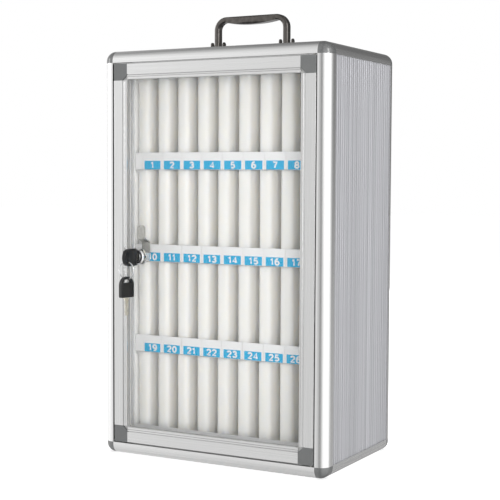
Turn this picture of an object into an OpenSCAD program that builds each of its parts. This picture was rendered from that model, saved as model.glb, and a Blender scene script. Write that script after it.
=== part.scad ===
// Lockable phone storage box: an aluminium edge frame with plastic corner caps, fluted side
// sheets, a glazed door with a cam lock, a foam-lined rack of numbered slots and a carry handle.
// Millimetres, +Z up, front towards -Y, origin at the middle of the flat base.

/* [Box] */
// Width of the box across its front
box_w = 400; // [330:1:480]
// Depth of the box from front to back
box_d = 255; // [212:1:306]
// Height of the box without its handle
box_h = 650; // [540:1:780]

/* [Edge frame] */
// Radius of the round outer edges
edge_r = 16; // [13:0.5:17]
// Width of the frame seen beside a sheet or the door
face_w = 19; // [18.5:0.5:23]
// Depth of the front sections along the sides, top and base
front_run = 25; // [23:0.5:30]
// Wall of the hollow edge sections
wall = 1.6; // [1.2:0.1:2]
// How far the sheets sit below the faces of the frame
sheet_inset = 2; // [1.5:0.1:2.5]
// Depth of the channels that hold the sheets
channel_depth = 8; // [6:0.5:8.5]
// Play of a sheet in its channel
channel_play = 0.3; // [0.1:0.05:0.4]
// Width of the stop strip behind the edge of the door
stop_w = 9; // [6:0.5:12]
// Thickness of the stop strip
stop_t = 1.6; // [1.2:0.1:2]
// Space between the closed door and the stop strip
stop_gap = 1; // [0.8:0.1:1.5]
// Length of the pegs on the corner caps
peg_len = 8; // [5:0.5:12]
// Play of a peg in a hollow section
peg_play = 0.3; // [0.2:0.05:0.5]

/* [Sheets] */
// Thickness of the side, top, back and base sheets
sheet_t = 4; // [3:0.25:5]
// Width of one flute of the side sheets
flute_w = 5; // [4:0.25:7]
// Depth of the flutes
flute_depth = 0.9; // [0.4:0.1:1.4]

/* [Door] */
// Gap round the door
door_gap = 2; // [1.5:0.1:3]
// Thickness of the door
door_t = 10; // [9.5:0.25:12]
// Width of the stiles and rails
member_w = 24.5; // [22:0.5:28]
// Width of the flat face of a stile or rail, outside its bead
member_flat = 17; // [14:0.5:18]
// How much wider a corner block is than a stile
block_over = 1; // [0.5:0.1:2]
// How much higher a corner block is than a rail is wide
block_rise = 2; // [0.5:0.1:3]
// Side of the triangle cut off the inner corner of a block
block_cut = 9; // [6:0.5:9]
// Thickness of the clear pane
pane_t = 3; // [2:0.25:3]
// Depth of the pane below the front of the door
pane_in = 4.5; // [4.25:0.25:5]
// Lip of the seal on each side of the pane
seal_lip = 0.9; // [0.6:0.1:1]
// How far the seal reaches into a stile or rail
seal_hold = 7; // [6:0.5:7]
// Width of the seal that shows round the pane
seal_show = 0.6; // [0.4:0.1:2]
// Distance of the hinge pins from the edge and the front of the door
hinge_in = 4.5; // [4:0.25:4.5]
// Diameter of the hinge pins
pin_d = 3; // [2.5:0.25:3]
// Play between a turning pin and its hole
turn_play = 0.05; // [0.02:0.01:0.08]

/* [Lock] */
// Distance of the lock's axis from the edge of the left stile
lock_in = 18.5; // [16:0.5:24]
// Drop of the lock below mid height
lock_drop = 3; // [-20:1:20]
// Diameter of the lock's head
head_d = 25; // [23:0.5:28]
// Thickness of the lock's head
head_t = 4; // [3:0.25:5]
// Diameter of the lock's body
body_d = 19.6; // [18:0.1:20]
// Distance between the two flats of the body
body_flat = 16.6; // [15.5:0.1:17.5]
// Length of the body behind the front of the pane
body_len = 23; // [22:0.5:26]
// Diameter of the turning plug
plug_d = 13; // [12:0.25:14]
// Width of the nut behind the pane, across its flats
nut_w = 24; // [22:0.5:26]
// Width of the cam
cam_w = 14.5; // [12:0.5:16]
// Thickness of the cam
cam_t = 2; // [1.5:0.25:2.5]
// How far the cam reaches behind the stop strip
cam_hold = 14; // [8:0.5:15]
// Distance from the lock's axis to the crank of the cam
crank_from = 23; // [18:0.5:24]
// Distance over which the cam is cranked forward
crank_run = 6.5; // [5:0.5:9]

/* [Keys] */
// Length of the bow of a key
bow_len = 33; // [31:0.5:36]
// Width of the bow
bow_w = 27; // [24:0.5:29]
// Thickness of the bow
bow_t = 6; // [4.5:0.5:7]
// Rim of the bow outside its eye, at the end
end_rim = 3; // [2.5:0.25:4]
// Rim of the bow beside its eye
side_rim = 4.5; // [4:0.25:6]
// Depth of the panel sunk in each face of a bow
panel_in = 0.6; // [0.3:0.1:0.8]
// Length of the blade
blade_len = 28.5; // [26:0.5:28.5]
// Width of the blade
blade_w = 8; // [7:0.25:8.5]
// Thickness of the blade
blade_t = 2; // [1.6:0.1:2.4]
// Mean radius of the key ring
ring_r = 14; // [13:0.5:17]
// Thickness of the ring's wire
wire_d = 1.2; // [1:0.1:1.4]
// Turn of the spare key on the ring
spare_turn = 12; // [0:1:15]

/* [Rack] */
// Rows of slots
rows = 4; // [2:1:5]
// Slots in a row
slots = 9; // [5:1:10]
// Distance of the rack behind the front of the box
rack_in = 71.5; // [62:0.5:80]
// Thickness of the boards of the rack
board_t = 3; // [2:0.25:4]
// Height of the free space above the rack
head_room = 35; // [30:1:45]
// Thickness of a foam divider
leaf_t = 22; // [18:0.5:24]
// Width of the foam pad at each end of a row
end_pad = 26; // [20:0.5:30]
// Radius of the corners of a divider's nose
nose_r = 7; // [4:0.5:8]
// Height of the label strip in front of a row
strip_h = 29.6; // [24:0.2:34]
// Thickness of the clear label holder
holder_t = 1.5; // [1:0.1:2]
// Thickness of the printed card
card_t = 0.5; // [0.3:0.1:0.8]
// Gap between two cards
card_play = 0.7; // [0.4:0.1:1]

/* [Carry handle] */
// Distance between the legs of the handle
handle_span = 126; // [110:1:150]
// Height of the handle's pivot above the top sheet
pivot_h = 12.5; // [11:0.1:15]
// Height of the handle above its pivot
handle_h = 50; // [42:0.1:60]
// Thickness of the bail seen from the front
bail_t = 9; // [7:0.25:10]
// Thickness of the bail seen from the side
bail_d = 13.5; // [11:0.25:14.5]
// Depth of the grip seen from the front
grip_t = 13.4; // [10:0.2:15]
// Thickness of the grip seen from the side
grip_d = 16; // [15:0.5:18]
// Radius of the bail's bends along their middle
bend_r = 17; // [14:0.5:20]
// Distance between the two ears of a bracket
ear_gap = 20; // [16:0.5:24]
// Thickness of an ear and of the bracket's plate
ear_t = 2; // [1.6:0.1:2.5]
// Radius of the top of an ear
ear_r = 4.5; // [4:0.1:5]
// Height of an ear above the handle's pivot
ear_rise = 10; // [6:0.1:12]
// Diameter of the handle's pivot pins
handle_pin_d = 5; // [4:0.25:5.5]
// Distance of the handle behind the middle of the top
handle_back = 6; // [0:1:15]

/* [Hidden] */
$fn = 48;
eps = 0.01;
front_y = -box_d / 2;
chamber = face_w - channel_depth;
leg_t = sheet_inset + sheet_t + channel_play + 1.2;
stop_y = door_t + stop_gap;
front_body = stop_y + stop_t;
base_hold = face_w - edge_r;
rebate_h = sheet_t + channel_play;
// Distance of the edge of a sheet from the outside of the box
sheet_edge = face_w - channel_depth + channel_play;
front_edge = front_run - channel_depth + channel_play;
base_edge = edge_r + channel_play;
base_front = front_run - base_hold + channel_play;
// Door
door_w = box_w - 2 * (face_w + door_gap);
door_h = box_h - 2 * (face_w + door_gap);
door_x = box_w / 2 - face_w - door_gap;
door_z = face_w + door_gap;
block_w = member_w + block_over;
block_h = member_w + block_rise;
seal_slot = pane_t + 2 * seal_lip + 0.2;
slot_in = pane_in - seal_lip - 0.1;
hinge_x = door_x - hinge_in;
hinge_y = front_y + hinge_in;
pin_len = 16;
pin_reach = door_gap + 3.4;
bush_d = 5.6;
bush_len = 4;
// Length of the caps' pegs in the front rails, which end beside the hinge bushes
bush_peg = door_gap + hinge_in - bush_d / 2 - 0.3;
// Lock and keys
lock_x = member_w + lock_in - door_x;
lock_z = box_h / 2 - lock_drop;
pane_y = front_y + pane_in;
nut_t = 4;
post_side = 7;
plug_proud = 0.3;
cam_at = body_len + 0.1;
// Depth of the cam's tip, just behind the stop strip
tip_at = stop_y + stop_t + 0.7 - pane_in;
cam_reach = lock_in + member_w + door_gap - stop_w + cam_hold;
keyway_play = 0.15;
shoulder = 2.5;
key_at = head_t + plug_proud + 0.2 + shoulder;
eye_r = bow_w / 2 - side_rim;
eye_at = bow_len - end_rim - eye_r;
eye_flat = 2.5;
// Where the ring crosses the eye of the key in the lock
wire_rise = ring_r - sqrt(pow(ring_r, 2) - pow(bow_t / 2, 2));
wire_off = wire_d + 0.5;
ring_along = eye_at + eye_flat + wire_off;
ring_across = sqrt(pow(eye_r, 2) - pow(eye_flat + wire_off + wire_d, 2)) - wire_d / 2 - wire_rise - 0.2;
ring_y = pane_y - key_at - ring_along;
ring_top = lock_z - ring_across;
ring_low = ring_top - 2 * ring_r;
spare_hang = eye_r - wire_d / 2 - wire_rise - 0.45;
spare_z = ring_low - spare_hang - eye_at;
// Rack
rack_y = front_y + rack_in;
rack_half = box_w / 2 - chamber - 0.5;
inner_half = rack_half - board_t;
rack_z = leg_t + 0.1;
rack_back = box_d / 2 - chamber - 0.3;
leaf_back = rack_back - board_t;
row_pitch = (box_h - head_room - board_t - rack_z) / rows;
slot_w = (2 * (inner_half - end_pad) - (slots - 1) * leaf_t) / slots;
leaf_y = rack_y + 0.5;
leaf_play = 0.15;
// Handle
top_z = box_h - sheet_inset;
pivot_z = top_z + pivot_h;
plate_w = ear_gap + 2 * ear_t + 10;
plate_d = 28;
rivet_d = 3.4;
rivet_at = 9.5;
boss_r = handle_pin_d / 2 + 1.4;
grip_half = handle_span / 2 - bend_r;

// Turns and places a child by the directions of its own axes
module lay(at, x, y, z) {
    multmatrix([[x[0], y[0], z[0], at[0]], [x[1], y[1], z[1], at[1]],
        [x[2], y[2], z[2], at[2]], [0, 0, 0, 1]]) children();
}

// A rectangle from the origin with one round corner, which is the outer edge of the box
module round_corner(w, d, r) {
    translate([r, 0]) square([w - r, d]);
    translate([0, r]) square([w, d - r]);
    intersection() {
        translate([r, r]) circle(r);
        square([w, d]);
    }
}

// The inside of the round corner, one wall thinner, up to a far corner
module hollow(w, d) {
    intersection() {
        translate([wall, wall]) round_corner(60, 60, edge_r - wall);
        translate([wall, wall]) square([w - wall, d - wall]);
    }
}

// What a square cut by a circle leaves: takes the sharp corner off at the origin
module corner_off(r) {
    difference() {
        translate([-1, -1]) square(r + 1);
        translate([r, r]) circle(r);
    }
}

// Channel for the sheet, or on the base an open rebate that leaves it flush
module sheet_cut(run, base) {
    if (base) translate([-1, run - base_hold]) square([rebate_h + 1, base_hold + 1]);
    else translate([sheet_inset, run - channel_depth])
        square([sheet_t + channel_play, channel_depth + 1]);
}

// Section of the front frame: x from the outer side inwards, y from the front backwards
module front_section(base = false) {
    difference() {
        union() {
            intersection() {
                round_corner(face_w, front_run, edge_r);
                union() {
                    square([face_w, front_body]);
                    square([leg_t, front_run]);
                }
            }
            translate([face_w - wall, stop_y]) square([wall + stop_w, stop_t]);
        }
        sheet_cut(front_run, base);
        hollow(face_w - wall, stop_y);
    }
}

// Section of the other edges: both legs hold a sheet, with a hollow chamber in the corner
module edge_section(base = false) {
    difference() {
        intersection() {
            round_corner(face_w, face_w, edge_r);
            union() {
                square([leg_t, face_w]);
                square([face_w, leg_t]);
                square(chamber);
            }
        }
        sheet_cut(face_w, false);
        mirror([1, -1]) sheet_cut(face_w, base);
        hollow(chamber - 1.2, chamber - 1.2);
    }
}

// The four uprights
module front_post(side) {
    color("gainsboro") lay([side * box_w / 2, front_y, face_w], [-side, 0, 0], [0, 1, 0], [0, 0, 1])
        linear_extrude(box_h - 2 * face_w) front_section();
}

module rear_post(side) {
    color("gainsboro") lay([side * box_w / 2, -front_y, face_w], [-side, 0, 0], [0, -1, 0], [0, 0, 1])
        linear_extrude(box_h - 2 * face_w) edge_section();
}

module post_front_left() front_post(-1);
module post_front_right() front_post(1);
module post_rear_left() rear_post(-1);
module post_rear_right() rear_post(1);

// Front rails, with holes for the hinge bushes; their stop strips end where the posts' begin
module front_rail(base) {
    run = box_w - 2 * face_w;
    up = base ? 1 : -1;
    color("gainsboro") difference() {
        lay([-run / 2, front_y, base ? 0 : box_h], [0, 0, up], [0, 1, 0], [1, 0, 0]) difference() {
            linear_extrude(run) front_section(base);
            for (end = [0, run])
                translate([face_w, stop_y - 1, end - stop_w - 0.2])
                    cube([stop_w + 1, stop_t + 2, 2 * stop_w + 0.4]);
        }
        translate([hinge_x, hinge_y, base ? face_w - 6 : box_h - face_w - 1])
            cylinder(d = bush_d, h = 7);
    }
}

module rail_front_top() front_rail(false);
module rail_front_bottom() front_rail(true);

module rear_rail(base) {
    run = box_w - 2 * face_w;
    up = base ? 1 : -1;
    color("gainsboro") lay([-run / 2, -front_y, base ? 0 : box_h], [0, -1, 0], [0, 0, up], [1, 0, 0])
        linear_extrude(run) edge_section(base);
}

module rail_rear_top() rear_rail(false);
module rail_rear_bottom() rear_rail(true);

module side_rail(side, base) {
    run = box_d - front_run - face_w;
    up = base ? 1 : -1;
    color("gainsboro")
        lay([side * box_w / 2, front_y + front_run, base ? 0 : box_h], [-side, 0, 0], [0, 0, up], [0, 1, 0])
            linear_extrude(run) edge_section(base);
}

module rail_left_top() side_rail(-1, false);
module rail_left_bottom() side_rail(-1, true);
module rail_right_top() side_rail(1, false);
module rail_right_bottom() side_rail(1, true);

// A corner with three round edges that meet in a ball, measured inwards from the corner
module round_solid(w, d, h) {
    r = edge_r;
    intersection() {
        cube([w, d, h]);
        union() {
            translate([r, r, r]) sphere(r);
            translate([r, r, r]) cylinder(r = r, h = h);
            translate([r, r, r]) rotate([0, 90, 0]) cylinder(r = r, h = w);
            translate([r, r, r]) rotate([-90, 0, 0]) cylinder(r = r, h = d);
            translate([0, r, r]) cube([w, d, h]);
            translate([r, 0, r]) cube([w, d, h]);
            translate([r, r, 0]) cube([w, d, h]);
        }
    }
}

// Corner cap: x and z along the front, y backwards, with a peg for each edge section.
// A peg's two places are from the outer faces of the section that it enters.
module corner_cap(front) {
    deep = front ? front_run : face_w;
    body = front ? front_body : chamber;
    far = chamber - 1.2 - peg_play;
    thin = far - 2.9;
    wide_from = edge_r / 2;
    wide = face_w - 2 * wall - peg_play - wide_from;
    difference() {
        round_solid(face_w, deep, face_w);
        translate([chamber, body, leg_t]) cube(deep);
    }
    translate([thin, deep - eps, thin]) cube([2.9, peg_len, 2.9]);
    if (front) {
        translate([wide_from, 6, face_w - eps]) cube([wide, 4, peg_len]);
        translate([face_w - eps, 6, wide_from]) cube([bush_peg, 4, wide]);
    } else {
        translate([thin, thin, face_w - eps]) cube([2.9, 2.9, peg_len]);
        translate([face_w - eps, thin, thin]) cube([peg_len, 2.9, 2.9]);
    }
}

module caps(z, up) {
    color("dimgray") for (side = [-1, 1]) {
        lay([side * box_w / 2, front_y, z], [-side, 0, 0], [0, 1, 0], [0, 0, up]) corner_cap(true);
        lay([side * box_w / 2, -front_y, z], [-side, 0, 0], [0, -1, 0], [0, 0, up]) corner_cap(false);
    }
}

module corner_caps_top() caps(box_h, -1);
module corner_caps_bottom() caps(0, 1);

// Outline of a sheet with its corners notched round the corner caps
module notched(w, h, notch) {
    difference() {
        square([w, h]);
        for (x = [0, w], y = [0, h])
            translate([x - notch, y - notch]) square(2 * notch);
    }
}

// Outline across a side sheet: the outer face has a row of half-round flutes
module fluted_section(w) {
    first = channel_depth;
    n = floor((w - 2 * first) / flute_w);
    start = (w - n * flute_w) / 2;
    polygon([for (i = [0 : n - 1], a = [0 : 30 : 150])
            [flute_depth * (1 - sin(a)), start + flute_w * (i + (1 - cos(a)) / 2)],
        [0, w], [sheet_t, w], [sheet_t, 0], [0, 0]]);
}

module side_sheet(side) {
    w = box_d - front_edge - sheet_edge;
    h = box_h - 2 * sheet_edge;
    color("silver") lay([side * (box_w / 2 - sheet_inset), front_y + front_edge, sheet_edge],
            [-side, 0, 0], [0, 1, 0], [0, 0, 1]) intersection() {
        linear_extrude(h) fluted_section(w);
        translate([-1, 0, 0]) lay([0, 0, 0], [0, 1, 0], [0, 0, 1], [1, 0, 0])
            linear_extrude(sheet_t + 2) notched(w, h, channel_depth);
    }
}

module side_sheet_left() side_sheet(-1);
module side_sheet_right() side_sheet(1);

module top_sheet() {
    w = box_w - 2 * sheet_edge;
    d = box_d - front_edge - sheet_edge;
    color("silver") difference() {
        translate([-w / 2, front_y + front_edge, top_z - sheet_t])
            linear_extrude(sheet_t) notched(w, d, channel_depth);
        for (side = [-1, 1], step = [-1, 1])
            translate([side * handle_span / 2, handle_back + step * rivet_at, top_z - sheet_t - 1])
                cylinder(d = rivet_d, h = sheet_t + 2);
    }
}

module back_sheet() {
    w = box_w - 2 * sheet_edge;
    h = box_h - 2 * sheet_edge;
    color("silver") lay([-w / 2, -front_y - sheet_inset, sheet_edge], [1, 0, 0], [0, 0, 1], [0, -1, 0])
        linear_extrude(sheet_t) notched(w, h, channel_depth);
}

module base_sheet() {
    w = box_w - 2 * base_edge;
    d = box_d - base_front - base_edge;
    color("silver") translate([-w / 2, front_y + base_front, 0])
        linear_extrude(sheet_t) notched(w, d, base_hold);
}

// Plastic bushes in the front rails, in which the door's pins turn
module hinge_bushes() {
    color("white") for (z = [face_w - bush_len, box_h - face_w])
        translate([hinge_x, hinge_y, z]) difference() {
            cylinder(d = bush_d, h = bush_len);
            translate([0, 0, -1]) cylinder(d = pin_d + 2 * turn_play, h = bush_len + 2);
        }
}

// Rack: two cheeks, a back, shelves and a top board
module cheek(side) {
    color("white") translate([side > 0 ? inner_half : -rack_half, rack_y, rack_z])
        cube([board_t, rack_back - rack_y, rows * row_pitch + board_t]);
}

module rack_cheek_left() cheek(-1);
module rack_cheek_right() cheek(1);

module rack_back() {
    color("white") translate([-inner_half, leaf_back, rack_z])
        cube([2 * inner_half, board_t, rows * row_pitch + board_t]);
}

module board(z) {
    translate([-inner_half, rack_y, z]) cube([2 * inner_half, leaf_back - rack_y, board_t]);
}

module rack_shelves() {
    color("white") for (i = [0 : rows - 1]) board(rack_z + i * row_pitch);
}

module rack_top() {
    color("white") board(rack_z + rows * row_pitch);
}

// Plan of a foam divider between two places across the rack: square at the back, round in front
module leaf_plan(from, to) {
    w = to - from;
    translate([from, leaf_y]) {
        translate([0, nose_r]) square([w, leaf_back - leaf_y - nose_r]);
        translate([nose_r, 0]) square([w - 2 * nose_r, nose_r + 1]);
        for (x = [nose_r, w - nose_r]) translate([x, nose_r]) circle(nose_r);
    }
}

// One row of dividers, with a wider pad against each cheek
module foam_row(row) {
    z = rack_z + (rows - row) * row_pitch + board_t + leaf_play;
    h = row_pitch - board_t - 2 * leaf_play;
    if (row <= rows) color("whitesmoke") translate([0, 0, z]) linear_extrude(h) {
        for (side = [0, 1]) mirror([side, 0]) leaf_plan(leaf_play - inner_half, end_pad - inner_half);
        for (i = [1 : slots - 1]) {
            from = end_pad - inner_half + i * slot_w + (i - 1) * leaf_t;
            leaf_plan(from, from + leaf_t);
        }
    }
}

module foam_row_1() foam_row(1);
module foam_row_2() foam_row(2);
module foam_row_3() foam_row(3);
module foam_row_4() foam_row(4);

// Clear holders with a small lip above and below the card
module label_holders() {
    color("lightcyan") for (i = [0 : rows - 1])
        lay([-inner_half + 0.2, rack_y - card_t - 0.1, rack_z + i * row_pitch],
            [0, -1, 0], [0, 0, 1], [1, 0, 0]) linear_extrude(2 * inner_half - 0.4) {
            square([holder_t, strip_h]);
            for (y = [0, strip_h - 1]) translate([-card_t - 0.1, y]) square([card_t + 0.2, 1]);
        }
}

// A card under each slot, and a blank one at each end of a row
module label_cards() {
    pitch = slot_w + leaf_t;
    ends = slots * pitch / 2;
    color("deepskyblue") for (i = [0 : rows - 1])
        translate([0, rack_y - card_t - 0.05, rack_z + i * row_pitch + 1.1]) {
            for (k = [0 : slots - 1]) translate([k * pitch - ends + card_play / 2, 0, 0])
                cube([pitch - card_play, card_t, strip_h - 2.2]);
            for (side = [0, 1]) mirror([side, 0, 0]) translate([1 - inner_half, 0, 0])
                cube([inner_half - 1 - ends - card_play / 2, card_t, strip_h - 2.2]);
        }
}

// Carry handle: a bracket with two ears and two riveted holes under each leg
module handle_brackets() {
    color("dimgray") for (side = [-1, 1]) translate([side * handle_span / 2, handle_back, top_z]) {
        difference() {
            intersection() {
                translate([-plate_w / 2, -plate_d / 2, 0]) cube([plate_w, plate_d, ear_t]);
                translate([0, 0, -1]) cylinder(r = plate_w / 2, h = ear_t + 2);
            }
            for (step = [-1, 1]) translate([0, step * rivet_at, -1]) cylinder(d = rivet_d, h = ear_t + 2);
        }
        for (end = [-1, 1]) translate([end > 0 ? ear_gap / 2 : -ear_gap / 2 - ear_t, 0, 0])
            difference() {
                union() {
                    translate([0, 0, pivot_h + ear_rise - ear_r]) rotate([0, 90, 0])
                        cylinder(r = ear_r, h = ear_t);
                    translate([0, -ear_r, 0]) cube([ear_t, 2 * ear_r, pivot_h + ear_rise - ear_r]);
                }
                translate([-1, 0, pivot_h]) rotate([0, 90, 0]) cylinder(d = handle_pin_d, h = ear_t + 2);
            }
    }
}

module handle_rivets() {
    color("silver") for (side = [-1, 1], step = [-1, 1])
        translate([side * handle_span / 2, handle_back + step * rivet_at, top_z]) {
            translate([0, 0, -sheet_t - 1]) cylinder(d = rivet_d, h = sheet_t + ear_t + 1.5);
            translate([0, 0, -sheet_t - 1.5]) cylinder(d = 1.7 * rivet_d, h = 1.5);
            translate([0, 0, ear_t]) intersection() {
                translate([0, 0, -1.6]) sphere(r = 3.4);
                cylinder(d = 8, h = 4);
            }
        }
}

module handle_pins() {
    reach = ear_gap / 2 + ear_t;
    color("dimgray") for (side = [-1, 1])
        translate([side * handle_span / 2, handle_back, pivot_z]) rotate([0, 90, 0]) {
            translate([0, 0, -reach]) cylinder(d = handle_pin_d, h = 2 * reach);
            for (end = [0, 1]) mirror([0, 0, end]) translate([0, 0, reach]) cylinder(d = 1.5 * handle_pin_d, h = 1.2);
        }
}

// Section of the bail, about its middle: x across the bend, y along the pivot's turn
module bail_section() {
    r = 3;
    x = bail_t / 2;
    y = bail_d / 2;
    translate([-x, r - y]) square([2 * x, 2 * (y - r)]);
    translate([r - x, -y]) square([2 * (x - r), 2 * y]);
    for (a = [-1, 1], b = [-1, 1]) translate([a * (x - r), b * (y - r)]) circle(r);
}

// Grip: flat on top, its underside and its sides swell to the middle
module grip() {
    drop = grip_t - bail_t;
    swell = (grip_d - bail_d) / 2;
    low_r = (pow(grip_half, 2) + pow(drop, 2)) / (2 * drop);
    side_r = (pow(grip_half, 2) + pow(swell, 2)) / (2 * swell);
    r = 3.9;
    intersection() {
        lay([0, -grip_d / 2, 0], [1, 0, 0], [0, 0, 1], [0, 1, 0]) linear_extrude(grip_d) intersection() {
            translate([-grip_half, -grip_t]) square([2 * grip_half, grip_t]);
            translate([0, low_r - grip_t]) circle(low_r, $fn = 360);
        }
        translate([-grip_half, 0, 0]) rotate([90, 0, 90]) linear_extrude(2 * grip_half) {
            translate([-grip_d / 2, r - grip_t]) square([grip_d, grip_t - 2 * r]);
            translate([r - grip_d / 2, -grip_t]) square([grip_d - 2 * r, grip_t]);
            for (a = [-1, 1], z = [-r, r - grip_t]) translate([a * (grip_d / 2 - r), z]) circle(r);
        }
        translate([0, 0, -grip_t - 1]) linear_extrude(grip_t + 2) intersection() {
            translate([0, side_r - grip_d / 2]) circle(side_r, $fn = 360);
            translate([0, grip_d / 2 - side_r]) circle(side_r, $fn = 360);
        }
    }
}

module handle_bail() {
    color("dimgray") translate([0, handle_back, pivot_z]) {
        for (side = [-1, 1]) difference() {
            union() {
                translate([side * handle_span / 2, 0, 0]) linear_extrude(handle_h - bail_t / 2 - bend_r)
                    bail_section();
                translate([side * handle_span / 2 - ear_gap / 2 + 0.3, 0, 0]) rotate([0, 90, 0])
                    cylinder(r = boss_r, h = ear_gap - 0.6);
                translate([side * grip_half, 0, handle_h - bail_t / 2 - bend_r]) rotate([90, 0, 0])
                    rotate([0, 0, side > 0 ? 0 : 90]) rotate_extrude(angle = 90)
                        translate([bend_r, 0]) bail_section();
            }
            translate([side * handle_span / 2 - ear_gap, 0, 0]) rotate([0, 90, 0])
                cylinder(d = handle_pin_d + 2 * turn_play, h = 2 * ear_gap);
        }
        translate([0, 0, handle_h]) grip();
    }
}

// Section of a stile or rail: x from the outer edge of the door inwards, y backwards.
// A flat face, a round bead and a low lip in front of the seal.
module member_section() {
    bead_r = 1.8;
    step = 1.6;
    difference() {
        union() {
            difference() {
                square([member_w, door_t]);
                translate([member_flat, -1]) square([member_w, step + 1]);
            }
            translate([member_flat + 0.6 + bead_r, bead_r + 0.1]) circle(bead_r);
            translate([member_w - 1.6, 0.9]) square([1.6, 1]);
        }
        corner_off(1);
        translate([0, door_t]) mirror([0, 1]) corner_off(3);
        translate([member_w - seal_hold, slot_in]) square([seal_hold + 1, seal_slot]);
        translate([wall, wall]) square([member_w - seal_hold - 2 * wall, door_t - 2 * wall]);
    }
}

module stile(side) {
    color("gainsboro") lay([side * door_x, front_y, door_z + block_h], [-side, 0, 0], [0, 1, 0], [0, 0, 1])
        linear_extrude(door_h - 2 * block_h) member_section();
}

module door_stile_left() stile(-1);
module door_stile_right() stile(1);

module door_rail(top) {
    up = top ? -1 : 1;
    color("gainsboro") lay([block_w - door_x, front_y, top ? door_z + door_h : door_z],
            [0, 0, up], [0, 1, 0], [1, 0, 0])
        linear_extrude(door_w - 2 * block_w) member_section();
}

module door_rail_top() door_rail(true);
module door_rail_bottom() door_rail(false);

// Corner block: x and z inwards from the corner of the door, y backwards
module corner_block(hinged) {
    pocket = member_w - seal_hold;
    peg_to = pocket - wall - 2.4;
    difference() {
        union() {
            linear_extrude(block_h) difference() {
                square([block_w, door_t]);
                corner_off(1);
                translate([0, door_t]) mirror([0, 1]) corner_off(3);
            }
            translate([7.5, 3, block_h - eps]) cube([peg_to - 7.5, door_t - 6, peg_len]);
            translate([block_w - eps, 3, 5]) cube([peg_len, door_t - 6, peg_to - 5]);
        }
        translate([pocket, slot_in, pocket]) cube([block_w, seal_slot, block_h]);
        lay([0, -1, 0], [1, 0, 0], [0, 0, 1], [0, 1, 0]) linear_extrude(slot_in + 1.5)
            polygon([[block_w + 1, block_h + 1], [block_w - block_cut - 1, block_h + 1],
                [block_w + 1, block_h - block_cut - 1]]);
        if (hinged) translate([hinge_in, hinge_in, -1]) cylinder(d = pin_d, h = pin_len - pin_reach + 1);
    }
}

module door_corner_blocks() {
    color("dimgray") for (side = [-1, 1], up = [-1, 1])
        lay([side * door_x, front_y, up > 0 ? door_z : door_z + door_h],
            [-side, 0, 0], [0, 1, 0], [0, 0, up]) corner_block(side > 0);
}

module door_hinge_pins() {
    color("silver") {
        translate([hinge_x, hinge_y, door_z + door_h - pin_len + pin_reach]) cylinder(d = pin_d, h = pin_len);
        translate([hinge_x, hinge_y, door_z - pin_reach]) cylinder(d = pin_d, h = pin_len);
    }
}

// Rubber channel round the pane
module door_seal() {
    out = member_w - seal_hold + 0.1;
    in = member_w + seal_show;
    edge = member_w - seal_hold + 1.1;
    color("black") difference() {
        translate([out - door_x, front_y + slot_in + 0.1, door_z + out])
            cube([door_w - 2 * out, seal_slot - 0.2, door_h - 2 * out]);
        translate([in - door_x, front_y, door_z + in]) cube([door_w - 2 * in, door_t, door_h - 2 * in]);
        translate([edge - door_x, pane_y, door_z + edge])
            cube([door_w - 2 * edge, pane_t, door_h - 2 * edge]);
    }
}

module door_pane() {
    edge = member_w - seal_hold + 1.1;
    color("lightblue") difference() {
        translate([edge - door_x, pane_y, door_z + edge])
            cube([door_w - 2 * edge, pane_t, door_h - 2 * edge]);
        at_lock() translate([0, 0, -pane_t - 1]) linear_extrude(pane_t + 2) body_plan(0.4);
    }
}

// The lock's own axes: x to the right, y up, z out of the front, from the front of the pane
module at_lock() {
    lay([lock_x, pane_y, lock_z], [1, 0, 0], [0, 0, 1], [0, -1, 0]) children();
}

// Outline of the lock's body, round with a flat at the left and the right, and of its hole
module body_plan(more = 0) {
    intersection() {
        circle(d = body_d + more);
        square([body_flat + more, body_d + 1], center = true);
    }
}

module lock_housing() {
    bore = plug_d / 2 + turn_play;
    r = head_d / 2;
    color("silver") at_lock() {
        translate([0, 0, -body_len]) linear_extrude(body_len) difference() {
            body_plan();
            circle(bore);
        }
        rotate_extrude() polygon([[bore, -eps], [body_flat / 2, -eps], [body_flat / 2, 0], [r, 0],
            [r, head_t - 1.4], [r - 1.4, head_t], [bore + 1.6, head_t], [bore + 1.2, head_t - 0.5],
            [bore, head_t - 0.5]]);
    }
}

module lock_nut() {
    color("silver") at_lock() translate([0, 0, -pane_t - nut_t]) difference() {
        cylinder(d = nut_w / cos(30), h = nut_t, $fn = 6);
        translate([0, 0, -1]) cylinder(d = body_d + 2 * turn_play, h = nut_t + 2);
    }
}

module lock_plug() {
    color("gray") at_lock() difference() {
        union() {
            translate([0, 0, -body_len]) cylinder(d = plug_d, h = body_len + head_t + plug_proud);
            translate([-post_side / 2, -post_side / 2, -cam_at - cam_t])
                cube([post_side, post_side, cam_at + cam_t - body_len + 1]);
        }
        translate([-blade_t / 2 - keyway_play, -blade_w / 2 - keyway_play, key_at - blade_len - 0.3])
            cube([blade_t + 2 * keyway_play, blade_w + 2 * keyway_play, blade_len + 5]);
        translate([0, 0, -cam_at - cam_t - 1]) cylinder(d = 4, h = cam_t + 1.8);
    }
}

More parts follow.
